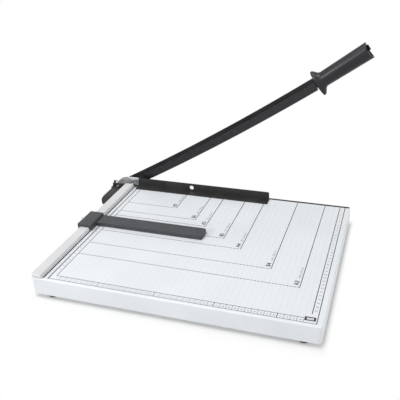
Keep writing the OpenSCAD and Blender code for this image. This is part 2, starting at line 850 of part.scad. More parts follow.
module handle_grip() color([0.16, 0.16, 0.17]) {
    points = [for (i = [0 : grip_rings]) each grip_ring(grip_at(i))];
    difference() {
        handle_frame() polyhedron(points, tube_faces(grip_rings, grip_sides));
        handle_frame() handle_recess(0);
        handle_frame() translate([handle_len - end_scoop + scoop_r, handle_front - past, 0])
            along_y() cylinder(r = scoop_r, h = grip_w + 2 * past);
        arm_frame() xz_plate(blade_back - tang_gap, bar_back + tang_gap) tang_side(tang_gap);
        at_handle_screws() translate([0, 0, -bar_t]) cylinder(r = screw_r + hole_gap, h = grip_w, $fn = 24);
        at_handle_screws() translate([0, 0, handle_screw_seat])
            cylinder(r = screw_head_r + head_gap, h = grip_w, $fn = 24);
    }
}

module handle_screws() color("dimgray") {
    at_handle_screws() translate([0, 0, handle_screw_seat])
        round_screw(handle_screw_seat + bar_t, screw_r, screw_head_r, screw_head_t);
}

// Rounded block that hollows the handle's end
module handle_recess(shrink) {
    high = grip_h - 2 * recess_wall - 2 * shrink;
    wide = grip_w - 2 * recess_wall - 2 * shrink;
    r = recess_r - shrink;
    translate([recess_floor, handle_mid_y, 0]) rotate([90, 0, 90]) linear_extrude(recess_depth + past) {
        square([wide - 2 * r, high], center = true);
        square([wide, high - 2 * r], center = true);
        for (y = [-1, 1], z = [-1, 1]) translate([y * (wide / 2 - r), z * (high / 2 - r)]) circle(r);
    }
}

module handle_plug() color("black") handle_frame() {
    intersection() {
        handle_recess(plug_gap);
        block([recess_floor, handle_front, -grip_h], [plug_top, handle_front + grip_w, grip_h]);
    }
    block([plug_top - eps, handle_mid_y - plug_tab_w / 2, 0],
          [handle_len + plug_proud, handle_mid_y + plug_tab_w / 2, plug_tab_h]);
}

// Clamp

module clamp_flange() {
    r = clamp_corner_r;
    translate([clamp_start, clamp_low]) square([clamp_len - r, clamp_h]);
    translate([clamp_start, clamp_low]) square([clamp_len, clamp_h - r]);
    translate([clamp_start + clamp_len - r, clamp_low + clamp_h - r]) circle(r);
}

module clamp_bar() color([0.13, 0.13, 0.14]) in_row_frame() {
    difference() {
        union() {
            xz_plate(clamp_front, -clamp_back) clamp_flange();
            block([clamp_start, clamp_front - clamp_foot + clamp_t, clamp_low],
                  [clamp_start + clamp_len, -clamp_back, clamp_low + clamp_t]);
        }
        translate([clamp_start + clamp_hole_at, clamp_front - past, clamp_low + clamp_h / 2])
            along_y() cylinder(r = clamp_hole_r, h = clamp_t + 2 * past);
        at_rivets() straight_hole(clamp_t + tongue_t, rivet_r);
    }
}

module at_rivets() {
    for (x = rivet_xs) translate([x, -clamp_back + tongue_t, rivet_z]) along_y() children();
}

module lug_side() {
    translate([-shaft_back, shaft_rise]) circle(lug_r);
    polygon([
        [-shaft_back - lug_r, shaft_rise], [-crown_back - crown_r, lug_rise - crown_r],
        [-crown_back + crown_r, lug_rise - crown_r], [-shaft_back + lug_r, shaft_rise]
    ]);
    translate([-crown_back, lug_rise - crown_r]) circle(crown_r);
}

module clamp_lug() color("darkgray") in_row_frame() {
    difference() {
        union() {
            yz_prism(lug_left, lug_right) lug_side();
            block([lug_right - tongue_root, -clamp_back, tongue_low],
                  [clamp_start + tongue_len, -clamp_back + tongue_t, tongue_high]);
        }
        block([clamp_start - run_gap, clamp_front - clamp_foot, -lug_r],
              [lug_right + past, -clamp_back, lug_rise + past]);
        shaft_bore(shaft_r);
        at_rivets() straight_hole(clamp_t + tongue_t, rivet_r);
    }
}

module clamp_rivets() color("dimgray") in_row_frame() {
    at_rivets() round_screw(clamp_t + tongue_t, rivet_r, rivet_head_r, rivet_head_t);
}

module clamp_shaft() color("silver") in_row_frame() {
    translate([knuckle_left, -shaft_back, shaft_rise])
        along_x() cylinder(r = shaft_r, h = shaft_right - knuckle_left);
}

module shaft_collar() color("silver") in_row_frame() {
    translate([knuckle_right, -shaft_back, shaft_rise])
        along_x() ring(shaft_r + collar_wall, shaft_r, collar_len);
}

// Plan of the paddle: a blade with one swept corner at its tip
module paddle_plan() {
    intersection() {
        union() {
            translate([paddle_left, -paddle_tip + paddle_w])
                square([paddle_w, paddle_tip - paddle_w - paddle_back]);
            translate([paddle_right, -paddle_tip + paddle_w]) circle(paddle_w);
        }
        translate([paddle_left, -paddle_tip]) square([paddle_w, paddle_tip - paddle_back]);
    }
}

// Side view of the paddle: flat, then curling down towards its tip
module paddle_side() {
    turn = asin((droop_run + past) / droop_r) / droop_steps;
    low = -paddle_drop - droop_r;
    inner_r = droop_r - lever_t;
    polygon(concat(
        [[-paddle_back + past, leg_low], [-paddle_back + past, -paddle_drop]],
        [for (i = [0 : droop_steps])
            [-droop_start - droop_r * sin(turn * i), low + droop_r * cos(turn * i)]],
        [for (i = [droop_steps : -1 : 0])
            [-droop_start - droop_r * sin(turn * i), low + inner_r * cos(turn * i)]]
    ));
}

// Paddle, the leg to its knuckle, and the yoke that closes a loop over the bolt's head
module clamp_lever() color([0.2, 0.2, 0.21]) in_row_frame() {
    difference() {
        union() {
            intersection() {
                translate([0, 0, floor_z]) linear_extrude(-floor_z) paddle_plan();
                yz_prism(paddle_left, paddle_right) paddle_side();
            }
            block([knuckle_left, -paddle_back - leg_root, leg_low],
                  [paddle_left + leg_root, -paddle_back, -paddle_drop]);
            block([knuckle_left, -paddle_back - eps, leg_low],
                  [knuckle_right, -shaft_back, -paddle_drop]);
            block([knuckle_left, yoke_front, leg_low], [knuckle_right, -shaft_back, shaft_rise]);
            block([knuckle_left, yoke_front, yoke_low], [paddle_right, yoke_back, yoke_high]);
            block([paddle_right - yoke_w, -paddle_back - leg_root, leg_low],
                  [paddle_right, yoke_front + eps, yoke_high - yoke_step]);
            translate([knuckle_left, -shaft_back, shaft_rise])
                along_x() cylinder(r = knuckle_r, h = knuckle_len);
        }
        shaft_bore(shaft_r);
    }
}

// Stop

module at_stop_screws() {
    for (x = stop_screw_xs, y = [-1, 1])
        translate([x, -stop_mid + y * stop_bar_d / 4, stop_tongue_low]) mirror([0, 0, 1]) children();
}

module stop_block() color([0.38, 0.38, 0.39]) in_row_frame() {
    difference() {
        union() {
            block([block_left, -stop_front, -block_skirt], [base_left - run_gap, -stop_back, block_h]);
            block([block_left, -stop_front, run_gap], [block_right, -stop_back, block_h]);
        }
        block([base_left - run_gap, -stop_front - past, -block_skirt - past],
              [run_gap, -stop_back + past, block_roof]);
        block([stop_tongue_left - hole_gap, stop_bar_y[0] - hole_gap, block_roof - past],
              [block_right + past, stop_bar_y[1] + hole_gap, stop_bar_h]);
        block([run_gap - past, stop_bar_y[0] - hole_gap, paper_gap],
              [block_right + past, stop_bar_y[1] + hole_gap, stop_bar_h]);
        at_stop_screws() translate([0, 0, -stop_screw_len]) cylinder(r = stop_screw_r, h = stop_screw_len);
        translate([block_left - past, thumb_y, thumb_rise])
            along_x() cylinder(r = thumb_thread_r + running_fit, h = block_outer_wall + 2 * past);
    }
}

module stop_bar_plan() {
    x0 = run_gap;
    x1 = block_right + stop_bar_len;
    y0 = stop_bar_y[0];
    y1 = stop_bar_y[1];
    c = stop_bar_chamfer;
    polygon([[x0, y0], [x1 - c, y0], [x1, y0 + c], [x1, y1 - c], [x1 - c, y1], [x0, y1]]);
}

module stop_bar() color([0.36, 0.37, 0.38]) in_row_frame() {
    difference() {
        union() {
            translate([0, 0, stop_bar_low]) linear_extrude(tongue_top - stop_bar_low) stop_bar_plan();
            block([stop_tongue_left, stop_bar_y[0], stop_tongue_low],
                  [run_gap + eps, stop_bar_y[1], tongue_top]);
        }
        at_stop_screws() flush_hole(stop_screw_len, stop_screw_r, stop_screw_head_r);
    }
}

module stop_screws() color("silver") in_row_frame() {
    at_stop_screws() flush_screw(stop_screw_len, stop_screw_r, stop_screw_head_r);
}

module thumb_screw() color("silver") in_row_frame() {
    tip = -fence_w - run_gap;
    head_right = block_left - run_gap;
    translate([head_right - thumb_t, thumb_y, thumb_rise]) along_x() {
        difference() {
            cylinder(r = thumb_r, h = thumb_t);
            for (i = [0 : thumb_grooves - 1])
                rotate(360 * i / thumb_grooves) translate([thumb_r, 0, -past])
                    cylinder(r = thumb_groove_r, h = thumb_t + 2 * past);
        }
        cylinder(r = thumb_thread_r, h = tip - head_right + thumb_t);
    }
}

base_pan();
foot_front_left();
foot_front_right();
foot_rear_left();
foot_rear_right();
foot_screws();
fence();
fence_screws();
ledger_blade();
ledger_screws();
nut_rail();
pivot_bracket();
pivot_plate();
plate_screws();
pivot_bolt();
pivot_washers();
pivot_spring();
pivot_nut();
arm_bar();
cutting_blade();
blade_screws();
pivot_bush();
handle_grip();
handle_screws();
handle_plug();
clamp_bar();
clamp_lug();
clamp_rivets();
clamp_shaft();
shaft_collar();
clamp_lever();
stop_block();
stop_bar();
stop_screws();
thumb_screw();
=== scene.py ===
"""Looks of a guillotine paper trimmer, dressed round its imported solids."""
import json
import math

import bmesh
import bpy
from mathutils import Matrix, Vector


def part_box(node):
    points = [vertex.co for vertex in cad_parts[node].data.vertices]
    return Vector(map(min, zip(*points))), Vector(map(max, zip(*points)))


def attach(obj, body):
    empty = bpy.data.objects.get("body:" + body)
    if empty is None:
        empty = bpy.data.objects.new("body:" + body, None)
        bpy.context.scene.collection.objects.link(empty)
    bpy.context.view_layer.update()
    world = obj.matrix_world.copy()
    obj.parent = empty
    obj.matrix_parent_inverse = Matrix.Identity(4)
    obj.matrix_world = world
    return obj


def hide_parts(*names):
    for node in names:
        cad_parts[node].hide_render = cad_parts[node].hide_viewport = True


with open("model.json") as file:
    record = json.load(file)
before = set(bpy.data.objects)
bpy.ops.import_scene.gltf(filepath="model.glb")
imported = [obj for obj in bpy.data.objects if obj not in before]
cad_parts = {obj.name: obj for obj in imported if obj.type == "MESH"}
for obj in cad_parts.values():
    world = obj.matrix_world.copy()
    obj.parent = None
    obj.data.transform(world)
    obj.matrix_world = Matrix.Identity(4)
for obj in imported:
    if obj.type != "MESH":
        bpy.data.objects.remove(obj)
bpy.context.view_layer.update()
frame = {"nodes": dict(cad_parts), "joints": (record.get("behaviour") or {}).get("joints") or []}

NODES = frame["nodes"]
JOINTS = {joint["name"]: joint for joint in frame["joints"]}
SCENE = bpy.context.scene

# Sizes are in millimetres where nothing else is said, and angles in radians
MM = 0.001
QUARTER = 0.5 * math.pi
FULL = 2 * math.pi

# The arm can come down by as much as it is raised at rest
ARM_ANGLE = math.radians(JOINTS["arm_pivot"]["range_deg"][1])

# Table axes, in millimetres: x from the fence's foot along the cut, y from the cut line, z from the top
TABLE = Matrix.Translation((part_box("fence")[1].x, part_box("ledger_blade")[1].y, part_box("base_pan")[1].z))


def spot(axes, x, y, z):
    """A point in metres, from millimetres in the given axes."""
    return axes @ Vector((x * MM, y * MM, z * MM))


def table_box(node):
    """Lowest and highest corner of a node, in millimetres on the table axes."""
    return [(corner - TABLE.translation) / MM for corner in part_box(node)]


# Camera, fitted to the printed paper sizes in the photo: place on the table axes, focus and middle in pixels
VIEW_AT = (532.7, -1036.1, 539.1)
VIEW_AZIMUTH = math.radians(-17.98)
VIEW_FALL = math.radians(27.89)
VIEW_ROLL = math.radians(-1.70)
VIEW_FOCUS = 563.98
VIEW_MIDDLE = (221.8, 207.9)
IMAGE = 400
SENSOR = 36.0


def make_camera():
    ahead = Vector((
        math.sin(VIEW_AZIMUTH) * math.cos(VIEW_FALL),
        math.cos(VIEW_AZIMUTH) * math.cos(VIEW_FALL),
        -math.sin(VIEW_FALL),
    ))
    right = ahead.cross(Vector((0, 0, 1))).normalized()
    up = right.cross(ahead)
    rolled_right = math.cos(VIEW_ROLL) * right + math.sin(VIEW_ROLL) * up
    rolled_up = math.cos(VIEW_ROLL) * up - math.sin(VIEW_ROLL) * right
    camera = bpy.data.objects.new("camera", bpy.data.cameras.new("camera"))
    SCENE.collection.objects.link(camera)
    turn = Matrix((rolled_right, rolled_up, -ahead)).transposed().to_4x4()
    camera.matrix_world = Matrix.Translation(spot(TABLE, *VIEW_AT)) @ turn
    camera.data.sensor_width = SENSOR
    camera.data.lens = VIEW_FOCUS / IMAGE * SENSOR
    camera.data.shift_x = (IMAGE / 2 - VIEW_MIDDLE[0]) / IMAGE
    camera.data.shift_y = (VIEW_MIDDLE[1] - IMAGE / 2) / IMAGE
    SCENE.camera = camera


make_camera()


# Materials
class Finish:
    """A principled material whose colour, gloss and bump come from procedural patterns."""

    # Noise values between which colour and gloss change
    MOTTLE_FROM, MOTTLE_TO = 0.35, 0.65
    GLOSS_FROM, GLOSS_TO = 0.3, 0.7
    # How level an edge is where wear starts and where it is full
    EDGE_FROM, EDGE_TO = 0.995, 0.8
    EDGE_SAMPLES = 4
    PATCH_GRAIN = (160, 4)
    BRUSH_STRETCH = (0.03, 1, 1)

    def __init__(self, name, metallic, specular):
        self.material = bpy.data.materials.new(name)
        self.material.use_nodes = True
        self.tree = self.material.node_tree
        self.shader = self.tree.nodes["Principled BSDF"]
        self.shader.inputs["Metallic"].default_value = metallic
        self.shader.inputs["Specular IOR Level"].default_value = specular
        self.place = self.add("ShaderNodeTexCoord").outputs["Object"]

    def add(self, kind, settings=None, **inputs):
        """A node with its settings, and its inputs set or linked."""
        node = self.tree.nodes.new(kind)
        for key, value in (settings or {}).items():
            setattr(node, key, value)
        for key, value in inputs.items():
            socket = node.inputs[key.replace("_", " ")]
            if isinstance(value, bpy.types.NodeSocket):
                self.tree.links.new(value, socket)
            else:
                socket.default_value = value
        return node

    def joined(self, kind, operation, first, second):
        """A maths node of two linked inputs."""
        node = self.add(kind, {"operation": operation})
        self.tree.links.new(first, node.inputs[0])
        self.tree.links.new(second, node.inputs[1])
        return node.outputs["Value"]

    def spread(self, value, start, stop, low, high):
        """Maps the run of a value from start to stop onto low to high."""
        limits = {"From_Min": start, "From_Max": stop, "To_Min": low, "To_Max": high}
        return self.add("ShaderNodeMapRange", Value=value, **limits).outputs["Result"]

    def noise(self, scale, detail, brushed=None):
        """Noise with that many features to the metre, drawn out along a brushed angle where one is given."""
        place = self.place
        if brushed is not None:
            turned = {"Rotation": (0, brushed, 0), "Scale": self.BRUSH_STRETCH}
            place = self.add("ShaderNodeMapping", Vector=place, **turned).outputs["Vector"]
        return self.add("ShaderNodeTexNoise", Vector=place, Scale=scale, Detail=detail).outputs["Fac"]

    def colour(self, pattern, dark, light):
        ramp = self.add("ShaderNodeValToRGB", Fac=pattern)
        ends = ramp.color_ramp.elements
        ends[0].position, ends[1].position = self.MOTTLE_FROM, self.MOTTLE_TO
        ends[0].color, ends[1].color = (*dark, 1), (*light, 1)
        self.base = ramp.outputs["Color"]
        self.tree.links.new(self.base, self.shader.inputs["Base Color"])

    def wear(self, light, reach, amount):
        """Lets a paler colour through along the edges, in patches."""
        smooth = self.add("ShaderNodeBevel", {"samples": self.EDGE_SAMPLES}, Radius=reach * MM)
        flat = self.add("ShaderNodeNewGeometry").outputs["Normal"]
        level = self.joined("ShaderNodeVectorMath", "DOT_PRODUCT", smooth.outputs["Normal"], flat)
        edge = self.spread(level, self.EDGE_FROM, self.EDGE_TO, 0.0, amount)
        patch = self.joined("ShaderNodeMath", "MULTIPLY", edge, self.noise(*self.PATCH_GRAIN))
        mix = self.add("ShaderNodeMix", {"data_type": "RGBA"}, Factor=patch, A=self.base, B=(*light, 1))
        self.tree.links.new(mix.outputs["Result"], self.shader.inputs["Base Color"])

    def gloss(self, pattern, low, high):
        spread = self.spread(pattern, self.GLOSS_FROM, self.GLOSS_TO, low, high)
        self.tree.links.new(spread, self.shader.inputs["Roughness"])

    def bump(self, pattern, strength, depth):
        node = self.add("ShaderNodeBump", Strength=strength, Distance=depth * MM, Height=pattern)
        self.tree.links.new(node.outputs["Normal"], self.shader.inputs["Normal"])


def make_finish(name, colours, colour_grain, gloss, gloss_grain, bump, bump_grain,
                metallic=0.0, specular=0.5, worn=None, brushed=None):
    """A material from one of the recipes below."""
    finish = Finish(name, metallic, specular)
    finish.colour(finish.noise(*colour_grain, brushed), *colours)
    if worn:
        finish.wear(*worn)
    finish.gloss(finish.noise(*gloss_grain), *gloss)
    finish.bump(finish.noise(*bump_grain, brushed), *bump)
    return finish.material


def ink_recipe(dark, light):
    return dict(
        colours=(dark, light), colour_grain=(500, 4), specular=0.3,
        gloss=(0.45, 0.6), gloss_grain=(300, 3), bump=(0.08, 0.02), bump_grain=(1500, 2))


# Colours are dark and light, gloss is the roughness from low to high, bump is a strength and a depth.
# A grain is a noise: features to the metre, and detail. Worn is the edges' colour, their reach and a share.
# Depths and reaches are in millimetres. Brushed is the angle of the brush marks.
RECIPES = {
    "white_enamel": dict(
        colours=((0.775, 0.805, 0.835), (0.815, 0.845, 0.875)), colour_grain=(9, 4), specular=0.4,
        gloss=(0.38, 0.5), gloss_grain=(40, 3), bump=(0.10, 0.05), bump_grain=(950, 2)),
    "fence_enamel": dict(
        colours=((0.67, 0.675, 0.68), (0.715, 0.72, 0.725)), colour_grain=(14, 4), specular=0.4,
        gloss=(0.38, 0.52), gloss_grain=(60, 3), bump=(0.10, 0.05), bump_grain=(1100, 2)),
    "black_enamel": dict(
        colours=((0.008, 0.008, 0.009), (0.016, 0.016, 0.017)), colour_grain=(30, 5), specular=0.2,
        worn=((0.08, 0.08, 0.083), 0.8, 0.3),
        gloss=(0.42, 0.56), gloss_grain=(90, 4), bump=(0.16, 0.05), bump_grain=(1500, 2)),
    "clamp_enamel": dict(
        colours=((0.02, 0.02, 0.021), (0.034, 0.034, 0.035)), colour_grain=(26, 5), specular=0.3,
        worn=((0.12, 0.12, 0.123), 0.8, 0.4),
        gloss=(0.42, 0.58), gloss_grain=(80, 4), bump=(0.16, 0.05), bump_grain=(1300, 2)),
    "blade_steel": dict(
        colours=((0.016, 0.016, 0.018), (0.04, 0.04, 0.043)), colour_grain=(2600, 3),
        metallic=0.6, brushed=ARM_ANGLE, worn=((0.4, 0.4, 0.42), 0.4, 0.5),
        gloss=(0.36, 0.52), gloss_grain=(60, 4), bump=(0.12, 0.02), bump_grain=(2600, 3)),
    "ledger_steel": dict(
        colours=((0.012, 0.012, 0.013), (0.028, 0.028, 0.03)), colour_grain=(2600, 3),
        metallic=0.3, specular=0.2, brushed=0.0,
        gloss=(0.5, 0.65), gloss_grain=(70, 4), bump=(0.12, 0.02), bump_grain=(2600, 3)),
    "zinc": dict(
        colours=((0.45, 0.45, 0.46), (0.66, 0.66, 0.67)), colour_grain=(220, 5), metallic=1.0,
        gloss=(0.24, 0.42), gloss_grain=(400, 4), bump=(0.08, 0.03), bump_grain=(2500, 2)),
    "nickel": dict(
        colours=((0.5, 0.5, 0.505), (0.68, 0.68, 0.685)), colour_grain=(180, 4), metallic=1.0,
        gloss=(0.16, 0.3), gloss_grain=(300, 4), bump=(0.05, 0.02), bump_grain=(2200, 2)),
    "grey_casting": dict(
        colours=((0.24, 0.242, 0.245), (0.33, 0.332, 0.335)), colour_grain=(45, 5),
        metallic=0.2, specular=0.4, worn=((0.5, 0.5, 0.505), 1.2, 0.4),
        gloss=(0.38, 0.55), gloss_grain=(150, 4), bump=(0.25, 0.06), bump_grain=(1800, 3)),
    # The grey casting painted about three times darker for the clamp lug: painted shade for the shade the lug
    # sits in, between the bracket and the clamp bar
    "lug_casting_painted_shade": dict(
        colours=((0.07, 0.071, 0.073), (0.115, 0.116, 0.118)), colour_grain=(60, 5),
        metallic=0.2, specular=0.3, worn=((0.3, 0.3, 0.31), 1.0, 0.3),
        gloss=(0.38, 0.55), gloss_grain=(150, 4), bump=(0.25, 0.06), bump_grain=(1800, 3)),
    "bronze": dict(
        colours=((0.30, 0.20, 0.08), (0.52, 0.36, 0.16)), colour_grain=(300, 5), metallic=1.0,
        gloss=(0.3, 0.5), gloss_grain=(500, 4), bump=(0.12, 0.03), bump_grain=(2600, 2)),
    "black_rubber": dict(
        colours=((0.01, 0.01, 0.01), (0.022, 0.022, 0.022)), colour_grain=(120, 5), specular=0.2,
        gloss=(0.65, 0.85), gloss_grain=(200, 4), bump=(0.3, 0.08), bump_grain=(1600, 3)),
    "black_plastic": dict(
        colours=((0.004, 0.004, 0.007), (0.006, 0.006, 0.011)), colour_grain=(70, 5), specular=0.44,
        worn=((0.07, 0.07, 0.075), 0.4, 0.3),
        gloss=(0.3, 0.34), gloss_grain=(140, 4), bump=(0.02, 0.02), bump_grain=(900, 2)),
    "plug_plastic": dict(
        colours=((0.006, 0.006, 0.007), (0.011, 0.011, 0.012)), colour_grain=(90, 5), specular=0.1,
        gloss=(0.65, 0.8), gloss_grain=(160, 4), bump=(0.2, 0.05), bump_grain=(1500, 3)),
    "lever_plastic": dict(
        colours=((0.012, 0.012, 0.014), (0.022, 0.022, 0.024)), colour_grain=(70, 5), specular=0.25,
        worn=((0.1, 0.1, 0.105), 1.0, 0.3),
        gloss=(0.38, 0.5), gloss_grain=(140, 4), bump=(0.25, 0.07), bump_grain=(1500, 3)),
    "grey_plastic": dict(
        colours=((0.049, 0.051, 0.057), (0.058, 0.060, 0.067)), colour_grain=(55, 5), specular=0.35,
        worn=((0.15, 0.15, 0.158), 1.0, 0.3),
        gloss=(0.48, 0.62), gloss_grain=(140, 4), bump=(0.3, 0.07), bump_grain=(1500, 3)),
    "ink_black": ink_recipe((0.02, 0.02, 0.022), (0.04, 0.04, 0.045)),
    "ink_grey": ink_recipe((0.14, 0.14, 0.16), (0.2, 0.2, 0.225)),
    "ink_pale": ink_recipe((0.62, 0.65, 0.69), (0.69, 0.72, 0.76)),
}
FINISH = {name: make_finish(name, **recipe) for name, recipe in RECIPES.items()}


# Mesh tools, with distances in metres
SAME_POINT = 1e-7
SAME_CORNER = 1e-6
# Angles in degrees over which an edge stays sharp, on pieces with flats and on round ones
FLAT_SHARP, ROUND_SHARP = 35.0, 60


def turns(sides):
    """Angles of that many equal steps round a circle."""
    return [FULL * k / sides for k in range(sides)]


def circle(radius, z, angles):
    return [(radius * math.cos(a), radius * math.sin(a), z) for a in angles]


def placed(axes, rings):
    """Rings of points in metres, from rings in millimetres in the given axes."""
    return [[spot(axes, *point) for point in ring] for ring in rings]


def loft(bm, rings, closed=False):
    """Joins rings of points into one skin, capped at both ends unless it closes on itself."""
    rows = [[bm.verts.new(point) for point in ring] for ring in rings]
    pairs = list(zip(rows, rows[1:]))
    if closed:
        pairs.append((rows[-1], rows[0]))
    for a, b in pairs:
        for i in range(len(a)):
            j = (i + 1) % len(a)
            bm.faces.new((a[i], a[j], b[j], b[i]))
    if not closed:
        bm.faces.new(reversed(rows[0]))
        bm.faces.new(rows[-1])


def box(bm, axes, low, high):
    (x0, y0, z0), (x1, y1, z1) = low, high
    loft(bm, placed(axes, [((x0, y0, z), (x1, y0, z), (x1, y1, z), (x0, y1, z)) for z in (z0, z1)]))


def tidy_mesh(bm):
    bmesh.ops.remove_doubles(bm, verts=bm.verts, dist=SAME_POINT)
    bmesh.ops.dissolve_degenerate(bm, edges=bm.edges, dist=SAME_POINT)
    bmesh.ops.recalc_face_normals(bm, faces=bm.faces)


def as_object(name, bm):
    mesh = bpy.data.meshes.new(name)
    bm.to_mesh(mesh)
    bm.free()
    made = bpy.data.objects.new(name, mesh)
    SCENE.collection.objects.link(made)
    return made


def evaluated_mesh(thing):
    """A mesh with the thing's modifiers applied; the thing itself goes."""
    bpy.context.view_layer.update()
    mesh = bpy.data.meshes.new_from_object(thing.evaluated_get(bpy.context.evaluated_depsgraph_get()))
    bpy.data.objects.remove(thing)
    return mesh


def carve(bm, cutter):
    """One skin with another cut out of it."""
    tidy_mesh(bm)
    tidy_mesh(cutter)
    body = as_object("body", bm)
    tool = as_object("tool", cutter)
    cut = body.modifiers.new("cut", "BOOLEAN")
    cut.object = tool
    cut.operation = "DIFFERENCE"
    cut.solver = "EXACT"
    cut.use_self = True
    mesh = evaluated_mesh(body)
    bpy.data.objects.remove(tool)
    carved = bmesh.new()
    carved.from_mesh(mesh)
    bpy.data.meshes.remove(mesh)
    return carved


def piece(name, bm, body, finish, stands_for=(), sharp=FLAT_SHARP):
    """Makes a mesh piece that rides on a body, smooth except over edges of more than the sharp angle."""
    tidy_mesh(bm)
    for face in bm.faces:
        face.smooth = True
    for edge in bm.edges:
        edge.smooth = edge.is_manifold and edge.calc_face_angle(0) < math.radians(sharp)
    made = as_object(name, bm)
    made.data.materials.append(FINISH[finish])
    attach(made, body)
    if stands_for:
        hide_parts(*stands_for)


def islands(node):
    """Lowest and highest corner of each separate solid in a CAD node, from left to right."""
    bm = bmesh.new()
    bm.from_mesh(NODES[node].data)
    bmesh.ops.remove_doubles(bm, verts=bm.verts, dist=SAME_CORNER)
    left = set(bm.verts)
    found = []
    while left:
        queue, group = [left.pop()], []
        while queue:
            vert = queue.pop()
            group.append(vert.co.copy())
            for edge in vert.link_edges:
                other = edge.other_vert(vert)
                if other in left:
                    left.remove(other)
                    queue.append(other)
        found.append((
            Vector([min(co[i] for co in group) for i in range(3)]),
            Vector([max(co[i] for co in group) for i in range(3)]),
        ))
    bm.free()
    digits = 4
    return sorted(found, key=lambda pair: (round(pair[0].x, digits), round(pair[0].y, digits)))


# CAD nodes that keep their own shape: finish, and how far the edges are rounded, in millimetres
KEPT = {
    "pivot_plate": ("white_enamel", 0.3), "ledger_blade": ("ledger_steel", 0.15),
    "nut_rail": ("ledger_steel", 0.5), "pivot_bracket": ("grey_casting", 1.6),
    "pivot_washers": ("zinc", 0.2), "arm_bar": ("black_enamel", 0.5),
    "cutting_blade": ("blade_steel", 0.12), "pivot_bush": ("bronze", 0.2),
    "handle_plug": ("plug_plastic", 0.6), "clamp_bar": ("clamp_enamel", 0.35),
    "clamp_lug": ("lug_casting_painted_shade", 0.9), "clamp_rivets": ("black_enamel", 0.2),
    "clamp_shaft": ("zinc", 0.3), "shaft_collar": ("zinc", 0.3),
    "clamp_lever": ("lever_plastic", 0.9), "stop_block": ("grey_plastic", 0.9),
    "stop_bar": ("grey_plastic", 0.7), "thumb_screw": ("nickel", 0.35),
    "foot_front_left": ("black_rubber", 0.4), "foot_front_right": ("black_rubber", 0.4),
    "foot_rear_left": ("black_rubber", 0.4), "foot_rear_right": ("black_rubber", 0.4),
}
EDGE_ANGLE = math.radians(32)
EDGE_SEGMENTS = 2


def soften(thing, width):
    """Rounds a node's sharp edges without touching its own vertices."""
    weld = thing.modifiers.new("weld", "WELD")
    weld.merge_threshold = SAME_CORNER
    bevel = thing.modifiers.new("edges", "BEVEL")
    bevel.width = width * MM
    bevel.segments = EDGE_SEGMENTS
    bevel.limit_method = "ANGLE"
    bevel.angle_limit = EDGE_ANGLE
    bevel.use_clamp_overlap = True
    shade = thing.modifiers.new("shade", "WEIGHTED_NORMAL")
    shade.keep_sharp = False


def dress_nodes():
    for node, (finish, width) in KEPT.items():
        thing = NODES[node]
        thing.data.materials.clear()
        thing.data.materials.append(FINISH[finish])
        soften(thing, width)


dress_nodes()


# Base pan: folded sheet with round front corners, cut open behind the fence for the pivot
(PAN_LEFT, PAN_FRONT, PAN_LOW), (PAN_RIGHT, PAN_BACK, _) = table_box("base_pan")
SHEET = 1.5
FOLD = 2.2
LIP = 24.0
LIP_EDGE = 0.5
PLAN_R = 7.0
NOTCH_GAP = 0.3
NOTCH_X = table_box("ledger_blade")[0].x - NOTCH_GAP
NOTCH_Y = table_box("fence")[1].y
CORNER_STEPS = 14
FOLD_STEPS = 8


def quarter(x, y, radius, start):
    """Points of a quarter circle from an angle, anticlockwise."""
    angles = [start + QUARTER * k / CORNER_STEPS for k in range(CORNER_STEPS + 1)]
    return [(x + radius * math.cos(a), y + radius * math.sin(a)) for a in angles]


def pan_outline(inset, rear=0.0):
    """The pan's plan, drawn in by the inset at its front and sides."""
    r = PLAN_R - inset
    left, right, y = PAN_LEFT + inset, PAN_RIGHT - inset, PAN_FRONT + inset + r
    corners = quarter(left + r, y, r, math.pi) + quarter(right - r, y, r, 3 * QUARTER)
    return corners + [(right, PAN_BACK - rear), (left, PAN_BACK - rear)]


def flange_point(x, y):
    """Where a point of the plan comes to lie on the inner edge of the flange."""
    return (
        min(max(x, PAN_LEFT + LIP), PAN_RIGHT - LIP),
        min(max(y, PAN_FRONT + LIP), PAN_BACK - LIP),
    )


def make_pan():
    plain, under = pan_outline(0.0), pan_outline(SHEET, SHEET)
    flange = [flange_point(x, y) for x, y in plain]
    rows = [(under, -SHEET), (under, PAN_LOW + SHEET), (flange, PAN_LOW + SHEET), (flange, PAN_LOW)]
    rows += [(pan_outline(LIP_EDGE), PAN_LOW), (plain, PAN_LOW + LIP_EDGE)]
    for k in range(FOLD_STEPS + 1):
        a = QUARTER * k / FOLD_STEPS
        rows.append((pan_outline(FOLD * (1 - math.cos(a))), FOLD * (math.sin(a) - 1)))
    bm = bmesh.new()
    loft(bm, placed(TABLE, [[(x, y, z) for x, y in outline] for outline, z in rows]))
    past = 1.0
    notch = bmesh.new()
    box(notch, TABLE, (PAN_LEFT - past, NOTCH_Y, PAN_LOW - past), (NOTCH_X, past, past))
    box(notch, TABLE, (PAN_LEFT + LIP, PAN_BACK - LIP - past, PAN_LOW - past),
        (NOTCH_X + NOTCH_GAP, NOTCH_Y + past, PAN_LOW + SHEET + past))
    piece("base_pan_sheet", carve(bm, notch), "base", "white_enamel", ["base_pan"])


make_pan()


# Fence: a moulded rail with a leaning inner side and round upper edges
FENCE_LEAN = 2.2
FENCE_LAND = 0.5
FENCE_OUTER_R = 2.2
FENCE_INNER_R = 1.0
FENCE_CORNER_R = 6.5
FENCE_STEPS = 10


